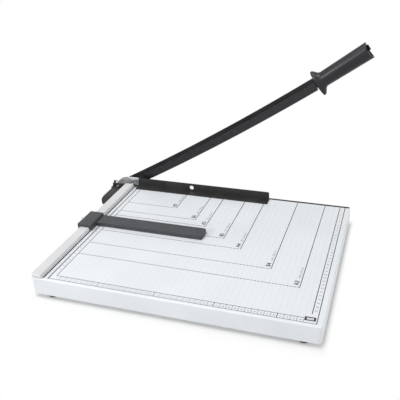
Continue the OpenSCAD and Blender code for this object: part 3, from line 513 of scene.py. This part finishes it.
def make_fence():
    (left, front, _), (_, back, top) = table_box("fence")
    corner = FENCE_CORNER_R

    def drawn_in(z, radius):
        """How far a round edge is drawn in at a height."""
        up = max(0.0, z - top + radius)
        return radius - math.sqrt(max(0.0, radius * radius - up * up))

    def ring(z):
        o = drawn_in(z, FENCE_OUTER_R)
        lean = FENCE_LEAN * max(0.0, z - FENCE_LAND) / (top - FENCE_LAND)
        i = lean + drawn_in(z, FENCE_INNER_R)
        bend = quarter(left + corner, front + corner, corner - o, math.pi)
        return [(x, y, z) for x, y in bend + [(-i, front + o), (-i, back), (left + o, back)]]

    shoulder = top - FENCE_OUTER_R
    heights = [0.0, FENCE_LAND, shoulder / 2]
    for k in range(FENCE_STEPS + 1):
        heights.append(shoulder + FENCE_OUTER_R * math.sin(QUARTER * k / FENCE_STEPS))
    bm = bmesh.new()
    loft(bm, placed(TABLE, [ring(z) for z in heights]))
    piece("fence_rail", bm, "base", "fence_enamel", ["fence"])


make_fence()


# Handle: a lofted grip with a horned guard and a scooped, hollow end. Its x runs from the guard to the end.
HANDLE_AT = (485.0, 0.0, 0.8)
HANDLE_TILT = math.radians(-4.5)
ARM = Matrix.Translation(JOINTS["arm_pivot"]["pos_m"]) @ Matrix.Rotation(-ARM_ANGLE, 4, "Y")
HANDLE = ARM @ Matrix.Translation([value * MM for value in HANDLE_AT]) @ Matrix.Rotation(HANDLE_TILT, 4, "Y")
GRIP_LEN, GRIP_H, GRIP_W = 112.0, 29.0, 24.0
GRIP_MID = 12.6
GRIP_FLARE = 1.5
GUARD_UP, GUARD_DOWN = 10.0, 12.5
GUARD_T, GUARD_RUN = 2.5, 16.0
END_SCOOP, SCOOP_RUN = 3.0, 12.0
RECESS_DEPTH, RECESS_WALL, RECESS_DRAFT = 7.0, 3.5, 0.2
RECESS_POWER = 0.62
FRONT_R, END_R, RIM_R = 0.8, 0.8, 0.6
GRIP_SIDES = 64
GRIP_RINGS = 70
RING_CROWDING = 1.4
ROUND_STEPS = 4
RIM_STEPS = 3


def ease(s):
    """Smooth rise from 0 to 1."""
    s = min(max(s, 0.0), 1.0)
    return s * s * (3 - 2 * s)


def bulged(share, power):
    """A sine or cosine bent towards a box, for a power under 1."""
    return math.copysign(abs(share) ** power, share)


def grip_ring(t, shrink=0.0, power=1.0, scoop=END_SCOOP):
    """Section of the grip at a distance from its guard, drawn in by the shrink."""
    guard = (1 - ease((t - GUARD_T) / GUARD_RUN)) ** 2
    end_reach = GRIP_H / 2 + GRIP_FLARE
    ring = []
    for a in turns(GRIP_SIDES):
        horn = GUARD_UP if math.sin(a) > 0 else GUARD_DOWN
        reach = GRIP_H / 2 + GRIP_FLARE * t / GRIP_LEN + horn * guard - shrink
        y = GRIP_MID + (GRIP_W / 2 - shrink) * bulged(math.cos(a), power)
        z = reach * bulged(math.sin(a), power)
        dip = scoop * (1 - (z / end_reach) ** 2) * ease((t - GRIP_LEN + SCOOP_RUN) / SCOOP_RUN)
        ring.append((t - dip, y, z))
    return ring


def make_grip():
    end = GRIP_LEN - END_R
    rings = []
    for k in range(ROUND_STEPS + 1):
        a = QUARTER * k / ROUND_STEPS
        rings.append(grip_ring(FRONT_R * (1 - math.cos(a)), FRONT_R * (1 - math.sin(a))))
    for k in range(1, GRIP_RINGS + 1):
        rings.append(grip_ring(FRONT_R + (end - FRONT_R) * (k / GRIP_RINGS) ** RING_CROWDING))
    for k in range(1, ROUND_STEPS + 1):
        a = QUARTER * k / ROUND_STEPS
        rings.append(grip_ring(end + END_R * math.sin(a), END_R * (1 - math.cos(a))))
    for k in range(1, RIM_STEPS + 1):
        a = QUARTER * k / RIM_STEPS
        drop = RIM_R * (1 - math.cos(a))
        rings.append(grip_ring(GRIP_LEN - drop, RECESS_WALL - RIM_R * (1 - math.sin(a)), RECESS_POWER))
    rings.append(grip_ring(GRIP_LEN - RECESS_DEPTH, RECESS_WALL + RECESS_DRAFT, RECESS_POWER, scoop=0.0))
    bm = bmesh.new()
    loft(bm, placed(HANDLE, rings))
    piece("handle_moulding", bm, "arm", "black_plastic", ["handle_grip"], sharp=ROUND_SHARP)


make_grip()


# Pivot hardware: wound spring, bolt with its thread, nut, all along the pivot's axis
PIVOT = Matrix.Translation(JOINTS["arm_pivot"]["pos_m"]) @ Matrix.Rotation(-QUARTER, 4, "X")
SPRING_R, SPRING_WIRE = 6.0, 0.7
SPRING_CURLS, SPRING_CLIMB, SPRING_START = 3.5, 8.4, 8.9
SPRING_STEPS, SPRING_SIDES = 140, 14
BOLT_R = 4.0
THREAD_PITCH, THREAD_DEPTH, THREAD_LEN = 1.25, 0.5, 13.0
THREAD_RINGS = 10
TIP_DROP, TIP_SLOPE = 0.8, 0.8
HEAD_APOTHEM, HEAD_T, NUT_APOTHEM = 5.63, 4.0, 6.5
SHANK_SINK = 0.5
BORE_GAP, BORE_FLARE = 0.05, 0.5
CROWN_SHARE, CROWN_FALL = 0.95, 0.55
HEX_SIDES = 72
HEX_TURNS = turns(HEX_SIDES)


def along_pivot(node):
    """Start and end of a node along the pivot's axis, in millimetres from the joint."""
    return [(corner.y - PIVOT.translation.y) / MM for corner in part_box(node)]


def make_spring():
    rings = []
    for i in range(SPRING_STEPS + 1):
        s = i / SPRING_STEPS
        a = FULL * SPRING_CURLS * s
        out = Vector((math.cos(a), math.sin(a), 0))
        pitch = SPRING_CLIMB / (FULL * SPRING_CURLS * SPRING_R)
        slope = Vector((-math.sin(a), math.cos(a), pitch)).normalized()
        rise = slope.cross(out)
        heart = out * SPRING_R + Vector((0, 0, SPRING_START + SPRING_CLIMB * s))
        rings.append([
            heart + SPRING_WIRE * (math.cos(b) * out + math.sin(b) * rise) for b in turns(SPRING_SIDES)
        ])
    bm = bmesh.new()
    loft(bm, placed(PIVOT, rings))
    piece("pivot_spring_wire", bm, "base", "zinc", ["pivot_spring"], sharp=ROUND_SHARP)


def hexagon(apothem, a):
    """Reach of a hexagon at an angle, with corners on the x axis."""
    return apothem / math.cos((a % (math.pi / 3)) - math.pi / 6)


def hex_rings(apothem, low, high, chamfer_high=True):
    """Rings of a six-sided head, chamfered at its low end and perhaps at its high one."""
    crown = apothem * CROWN_SHARE
    rows = []
    for z, sign, cut in ((low, 1, True), (high, -1, chamfer_high)):
        disc = circle(crown, z, HEX_TURNS)
        rim = []
        for a in HEX_TURNS:
            r = hexagon(apothem, a)
            rim.append((r * math.cos(a), r * math.sin(a), z + sign * cut * CROWN_FALL * (r - crown)))
        rows += [disc, rim] if sign > 0 else [rim, disc]
    return rows


def make_bolt():
    start, end = along_pivot("pivot_bolt")
    bm = bmesh.new()
    loft(bm, placed(PIVOT, hex_rings(HEAD_APOTHEM, start, start + HEAD_T, chamfer_high=False)))
    rings = [circle(BOLT_R, start + HEAD_T - SHANK_SINK, HEX_TURNS)]
    first = end - THREAD_LEN
    steps = int(THREAD_LEN / THREAD_PITCH * THREAD_RINGS)
    for i in range(steps + 1):
        z = first + THREAD_LEN * i / steps
        ring = []
        for a in HEX_TURNS:
            phase = ((z - first) / THREAD_PITCH - a / FULL) % 1.0
            deep = THREAD_DEPTH * (1 - abs(2 * phase - 1)) * ease((z - first) / THREAD_PITCH)
            r = min(BOLT_R - deep, BOLT_R - TIP_DROP + (end - z) * TIP_SLOPE)
            ring.append((r * math.cos(a), r * math.sin(a), z))
        rings.append(ring)
    loft(bm, placed(PIVOT, rings))
    piece("pivot_bolt_threaded", bm, "base", "zinc", ["pivot_bolt"])


def make_nut():
    start, end = along_pivot("pivot_nut")
    rows = hex_rings(NUT_APOTHEM, start, end)
    bore = BOLT_R + BORE_GAP
    wide = bore + BORE_FLARE
    for z, r in ((end, wide), (end - BORE_FLARE, bore), (start + BORE_FLARE, bore), (start, wide)):
        rows.append(circle(r, z, HEX_TURNS))
    bm = bmesh.new()
    loft(bm, placed(PIVOT, rows), closed=True)
    piece("pivot_nut_chamfered", bm, "base", "zinc", ["pivot_nut"])


make_spring()
make_bolt()
make_nut()


# Screws with cross recesses. A recess's reach is a share of the head's radius, and its other sizes are shares
# of that reach.
HEAD_R, SHANK_R, HEAD_TALL = 3.8, 2.0, 2.0
RIM_SHARE = 0.35
FLUSH_EDGE = 0.2
RECESS_REACH, RECESS_W, RECESS_SINK = 0.55, 0.24, 0.55
RECESS_TOP, RECESS_BOTTOM = 1.1, 0.55
RECESS_PAST = 0.5
SCREW_SIDES = 32
DOME_STEPS = 8
NEXT_TURN = 0.7
NEAR_AXIS = 1e-4
OUT_BACK = Matrix.Rotation(-QUARTER, 4, "X")
OUT_DOWN = Matrix.Rotation(math.pi, 4, "X")
HERE = Matrix.Identity(4)


def cross_cutter(reach, top):
    """Two tapering wedges that cross each other in a screw's head."""
    width = reach * RECESS_W
    bm = bmesh.new()
    for turned in (False, True):
        rows = []
        for z, share in ((top + RECESS_PAST, RECESS_TOP), (top - reach * RECESS_SINK, RECESS_BOTTOM)):
            x, y = (width, reach * share) if turned else (reach * share, width)
            rows.append([(i * x, j * y, z) for i, j in ((-1, -1), (1, -1), (1, 1), (-1, 1))])
        loft(bm, placed(HERE, rows))
    return bm


def round_profile(head_r, shank_r, length):
    """Radius and height down a screw with a domed head."""
    angles = [QUARTER * k / DOME_STEPS for k in range(1, DOME_STEPS + 1)]
    dome = [(head_r * math.sin(a), HEAD_TALL * (RIM_SHARE + (1 - RIM_SHARE) * math.cos(a))) for a in angles]
    foot = [(head_r, 0), (shank_r, 0), (shank_r, -length), (NEAR_AXIS, -length)]
    return [(NEAR_AXIS, HEAD_TALL), *dome, *foot]


def flush_profile(head_r, shank_r, length):
    """Radius and height down a screw with a countersunk head."""
    sink = head_r - shank_r
    head = [(NEAR_AXIS, 0), (head_r - FLUSH_EDGE, 0), (head_r, -FLUSH_EDGE)]
    return [*head, (shank_r, -sink), (shank_r, -length), (NEAR_AXIS, -length)]


def screw_mesh(profile, top, reach):
    """One screw in its own axes, head up, with a cross recess cut into the head."""
    bm = bmesh.new()
    loft(bm, placed(HERE, [circle(r, z, turns(SCREW_SIDES)) for r, z in profile]))
    carved = carve(bm, cross_cutter(reach, top))
    mesh = bpy.data.meshes.new("screw")
    carved.to_mesh(mesh)
    carved.free()
    return mesh


def make_screws(node, body, finish, flush, down):
    """Stands a cross-recessed screw in the place of each of the node's solids."""
    found = islands(node)
    size = (found[0][1] - found[0][0]) / MM
    head_r, length = size.x / 2, size.z if down else size.y
    shank_r = head_r * SHANK_R / HEAD_R
    proud = 0.0 if flush else HEAD_TALL
    if flush:
        profile = flush_profile(head_r, shank_r, length)
    else:
        profile = round_profile(head_r, shank_r, length - HEAD_TALL)
    mesh = screw_mesh(profile, proud, head_r * RECESS_REACH)
    bm = bmesh.new()
    for i, (low, high) in enumerate(found):
        seat = (low + high) / 2
        if down:
            seat.z = low.z + proud * MM
        else:
            seat.y = high.y - proud * MM
        way = OUT_DOWN if down else OUT_BACK
        place = Matrix.Translation(seat) @ way @ Matrix.Rotation(NEXT_TURN * i, 4, "Z")
        before = len(bm.verts)
        bm.from_mesh(mesh)
        bm.verts.ensure_lookup_table()
        bmesh.ops.transform(bm, matrix=place, verts=bm.verts[before:])
    bpy.data.meshes.remove(mesh)
    piece(node + "_recessed", bm, body, finish, [node])


make_screws("foot_screws", "base", "zinc", flush=False, down=True)
make_screws("fence_screws", "base", "zinc", flush=False, down=True)
make_screws("ledger_screws", "base", "zinc", flush=True, down=False)
make_screws("plate_screws", "base", "zinc", flush=True, down=False)
make_screws("blade_screws", "arm", "black_enamel", flush=False, down=False)
make_screws("handle_screws", "arm", "zinc", flush=False, down=False)
make_screws("stop_screws", "stop", "zinc", flush=True, down=True)


# Print on the table, as thin raised ink, with a black band of painted shade along the fence's foot
class Ink:
    """Strokes and figures of one ink, which stands proud of the table, in millimetres."""

    SUNK = -0.02
    CURVE_STEPS = 2

    def __init__(self, proud):
        self.bm = bmesh.new()
        self.low, self.high = self.SUNK, proud

    def stroke(self, x0, y0, x1, y1, width):
        half = width / 2
        if abs(x1 - x0) >= abs(y1 - y0):
            low, high = (min(x0, x1), y0 - half), (max(x0, x1), y0 + half)
        else:
            low, high = (x0 - half, min(y0, y1)), (x0 + half, max(y0, y1))
        box(self.bm, TABLE, (*low, self.low), (*high, self.high))

    def dashes(self, x0, x1, y, width, dash, gap):
        x = x0
        while x < x1:
            self.stroke(x, y, min(x + dash, x1), y, width)
            x += dash + gap

    def frame(self, x0, y0, x1, y1, thin, thick):
        for y in (y0, y1):
            self.stroke(x0 - thick / 2, y, x1 + thick / 2, y, thin)
        for x in (x0, x1):
            self.stroke(x, y0, x, y1, thick)

    def figures(self, words, x, y, size, turn=0.0, bold=0.0):
        curve = bpy.data.curves.new("figures", "FONT")
        curve.body = words
        curve.size = size * MM
        curve.align_x = curve.align_y = "CENTER"
        curve.resolution_u = self.CURVE_STEPS
        curve.offset = bold * MM
        curve.extrude = (self.high - self.low) / 2 * MM
        thing = bpy.data.objects.new("figures", curve)
        SCENE.collection.objects.link(thing)
        mesh = evaluated_mesh(thing)
        place = Matrix.Translation(spot(TABLE, x, y, (self.low + self.high) / 2))
        mesh.transform(place @ Matrix.Rotation(math.radians(turn), 4, "Z"))
        self.bm.from_mesh(mesh)
        bpy.data.curves.remove(curve)
        bpy.data.meshes.remove(mesh)

    def done(self, name, finish):
        piece(name, self.bm, "base", finish)


# Paper sizes: name, width and depth
SHEETS = (("B7", 128, 91), ("B6", 182, 128), ("A5", 210, 148), ("B5", 257, 182), ("A4", 297, 210),
          ("B4", 364, 257), ("A3", 420, 297))
# Lines of the scales, on the table axes: the front band, the right side, the left side and the cut
BAND_IN, BAND_OUT = -369.5, -380.0
SIDE_IN, SIDE_OUT, SIDE_END = 450.0, 460.0, -358.0
LEFT_IN, LEFT_OUT, LEFT_END = 20.0, 10.0, -381.5
# The black band next to the fence's foot is painted shade, laid in black ink where the fence meets the table;
# the grey line further in is print
FENCE_FOOT_PAINTED_SHADE, FENCE_LINE = 1.3, 5.6
CUT_IN, CUT_EDGE = -6.3, 3.2
# What the scales and the grid count, in centimetres, and the front scale's fine marks, in millimetres
CM, HALF_CM = 10, 5
BOLD_EVERY = 10
FRONT_CM = range(3, 45)
SIDE_CM = range(2, 36)
GRID_CM = range(1, 37)
FRONT_MARKS = range(21, 441)
MARK, HALF_MARK, MARK_W = 1.4, 2.4, 0.2
CM_W, BOLD_W = 0.6, 1.1
FRONT_FIGURE, FRONT_FIGURE_LEFT, FRONT_FIGURE_DOWN = 4.2, 4.8, 1.0
SIDE_FIGURE, LEFT_FIGURE = 4.2, 4.4
# How far a sheet's name and dimensions stand in from its right edge and up from its front edge
NAME_IN, NAME_UP = 6.4, 11.5
SIZE_IN, SIZE_UP = 4.6, 42.0
UPWARDS = 90
# Frame in the front right corner, and the gap that the front band leaves before it
PLATE = (442.4, -373.6, 456.2, -366.8)
PLATE_GAP = 2


def print_rulers(black, grey):
    """Scales along the fence, the front and the right edge, and a black band of painted shade at the fence's
    foot.
    """
    cut_y = CUT_IN + CUT_EDGE / 2
    black.stroke(NOTCH_X, cut_y, PAN_RIGHT - FOLD, cut_y, CUT_EDGE)
    # Lines from rear to front: ink, place, rear end, front end, width
    for ink, x, rear, front, width in (
        # painted shade: a black band along the fence's foot
        (black, FENCE_FOOT_PAINTED_SHADE, NOTCH_Y, LEFT_END, 2.4),
        (grey, FENCE_LINE, NOTCH_Y, LEFT_END, 0.25),
        (black, LEFT_OUT, NOTCH_Y, LEFT_END, 2.0),
        (grey, LEFT_IN, CUT_IN, BAND_IN, 1.4),
        (black, SIDE_IN, CUT_IN, SIDE_END, 1.3),
        (black, SIDE_OUT, CUT_IN, BAND_OUT, 1.3),
    ):
        ink.stroke(x, rear, x, front, width)
    black.stroke(LEFT_OUT, BAND_OUT, SIDE_OUT, BAND_OUT, width=0.9)
    black.stroke(LEFT_IN, BAND_IN, PLATE[0] - PLATE_GAP, BAND_IN, width=0.8)
    figure_y = (BAND_IN + BAND_OUT) / 2 - FRONT_FIGURE_DOWN
    for k in FRONT_CM:
        x = CM * k
        black.stroke(x, BAND_IN, x, BAND_OUT, BOLD_W if k % BOLD_EVERY == 0 else CM_W)
        grey.figures(str(k), x - FRONT_FIGURE_LEFT, figure_y, FRONT_FIGURE)
    for x in FRONT_MARKS:
        if x % CM:
            mark = HALF_MARK if x % HALF_CM == 0 else MARK
            grey.stroke(x, BAND_IN, x, BAND_IN - mark, MARK_W)
    for k in SIDE_CM:
        black.figures(str(k), (SIDE_IN + SIDE_OUT) / 2, -CM * k, SIDE_FIGURE)
        grey.figures(str(k), (LEFT_IN + LEFT_OUT) / 2, -CM * k, LEFT_FIGURE)


def print_sheets(black, grey):
    """Outlines of the paper sizes, with their names along the right edges."""
    for name, wide, deep in SHEETS:
        black.stroke(wide, CUT_IN, wide, -deep, width=1.3)
        black.dashes(LEFT_IN, wide, -deep, width=1.2, dash=4.5, gap=1.5)
        black.figures(name, wide - NAME_IN, NAME_UP - deep, size=11.0, turn=UPWARDS, bold=0.25)
        grey.figures(f"{wide} x {deep} mm", wide - SIZE_IN, SIZE_UP - deep, size=5.6, turn=UPWARDS)


def print_table():
    black, grey, pale = Ink(proud=0.05), Ink(proud=0.04), Ink(proud=0.03)
    for k in FRONT_CM:
        pale.stroke(CM * k, CUT_IN, CM * k, BAND_IN, width=0.35)
    for k in GRID_CM:
        pale.stroke(LEFT_IN, -CM * k, SIDE_IN, -CM * k, width=0.2)
    print_rulers(black, grey)
    print_sheets(black, grey)
    black.frame(*PLATE, thin=2.3, thick=3.0)
    x0, y0, x1, y1 = PLATE
    grey.stroke(x0, (y0 + y1) / 2, x1, (y0 + y1) / 2, width=0.8)
    pale.done("print_grid", "ink_pale")
    grey.done("print_scales", "ink_grey")
    black.done("print_lines_and_painted_shade", "ink_black")


print_table()


# Studio: pale floor that fades to white, three soft lamps, white surroundings.
# The floor shows shadows this far from the base, in millimetres at its sides and at its front and back.
FADE_SIDE, FADE_FRONT, FADE_START = 11.0, 28.0, -0.4
FLOOR_HALF, FLOOR_SUNK = 6.0, 0.0005
FLOOR_SEEN, FLOOR_PLAIN = 0.85, 0.62
SKY_PLAIN, SKY_SEEN = 0.48, 1.0


def grey_of(level):
    return (level, level, level, 1)


def seen(tree):
    """1 for rays from the camera, a reflection or glass, 0 for the rest."""
    path = tree.nodes.new("ShaderNodeLightPath")
    total = path.outputs["Is Camera Ray"]
    for name in ("Is Glossy Ray", "Is Transmission Ray"):
        join = tree.nodes.new("ShaderNodeMath")
        join.operation = "MAXIMUM"
        tree.links.new(total, join.inputs[0])
        tree.links.new(path.outputs[name], join.inputs[1])
        total = join.outputs[0]
    return total


def mixed(tree, share, first, second):
    mix = tree.nodes.new("ShaderNodeMixShader")
    tree.links.new(share, mix.inputs["Fac"])
    tree.links.new(first.outputs[0], mix.inputs[1])
    tree.links.new(second.outputs[0], mix.inputs[2])
    return mix


def floor_paint(tree):
    """Paper that takes the shadows round the base, and plain white further out."""
    def add(kind, socket, value):
        node = tree.nodes.new(kind)
        node.inputs[socket].default_value = value
        return node

    def vector(operation, first, second=(0, 0, 0), output="Vector"):
        node = tree.nodes.new("ShaderNodeVectorMath")
        node.operation = operation
        tree.links.new(first, node.inputs[0])
        node.inputs[1].default_value = second
        return node.outputs[output]

    paper = add("ShaderNodeBsdfDiffuse", "Color", grey_of(FLOOR_SEEN))
    white = add("ShaderNodeEmission", "Strength", 1.0)
    plain = add("ShaderNodeBsdfDiffuse", "Color", grey_of(FLOOR_PLAIN))
    low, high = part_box("base_pan")
    away = vector("SUBTRACT", tree.nodes.new("ShaderNodeTexCoord").outputs["Object"], (low + high) / 2)
    away = vector("SUBTRACT", vector("ABSOLUTE", away), (high - low) / 2)
    away = vector("MAXIMUM", away)
    away = vector("MULTIPLY", away, (1 / (FADE_SIDE * MM), 1 / (FADE_FRONT * MM), 0))
    fade = add("ShaderNodeMapRange", "From Min", FADE_START)
    fade.interpolation_type = "SMOOTHSTEP"
    tree.links.new(vector("LENGTH", away, output="Value"), fade.inputs["Value"])
    shown = mixed(tree, fade.outputs["Result"], paper, white)
    return mixed(tree, seen(tree), plain, shown)


def make_floor():
    half = FLOOR_HALF
    corners = ((-half, -half), (half, -half), (half, half), (-half, half))
    bm = bmesh.new()
    bm.faces.new([bm.verts.new((x, y, -FLOOR_SUNK)) for x, y in corners])
    floor = as_object("floor", bm)
    material = bpy.data.materials.new("floor")
    material.use_nodes = True
    tree = material.node_tree
    tree.nodes.clear()
    out = tree.nodes.new("ShaderNodeOutputMaterial")
    tree.links.new(floor_paint(tree).outputs[0], out.inputs["Surface"])
    floor.data.materials.append(material)


def make_world():
    world = bpy.data.worlds.new("studio")
    SCENE.world = world
    world.use_nodes = True
    tree = world.node_tree
    tree.nodes.clear()
    shades = []
    for strength in (SKY_PLAIN, SKY_SEEN):
        shade = tree.nodes.new("ShaderNodeBackground")
        shade.inputs["Color"].default_value = grey_of(1)
        shade.inputs["Strength"].default_value = strength
        shades.append(shade)
    out = tree.nodes.new("ShaderNodeOutputWorld")
    tree.links.new(mixed(tree, seen(tree), *shades).outputs[0], out.inputs["Surface"])


def make_lamp(name, at, size, power):
    """A round lamp that faces the middle of the part's foot, in metres and watts."""
    lamp = bpy.data.lights.new(name, "AREA")
    lamp.shape = "DISK"
    lamp.size = size
    lamp.energy = power
    thing = bpy.data.objects.new(name, lamp)
    SCENE.collection.objects.link(thing)
    thing.location = at
    thing.rotation_euler = (-Vector(at)).to_track_quat("-Z", "Y").to_euler()


make_floor()
make_world()
make_lamp("key", at=(-0.5, -0.5, 2.0), size=1.4, power=20.0)
make_lamp("front", at=(-1.0, -1.45, 0.76), size=0.65, power=10.6)
make_lamp("side", at=(2.0, -0.6, 0.4), size=0.9, power=10.0)
SCENE.view_settings.view_transform = "Standard"
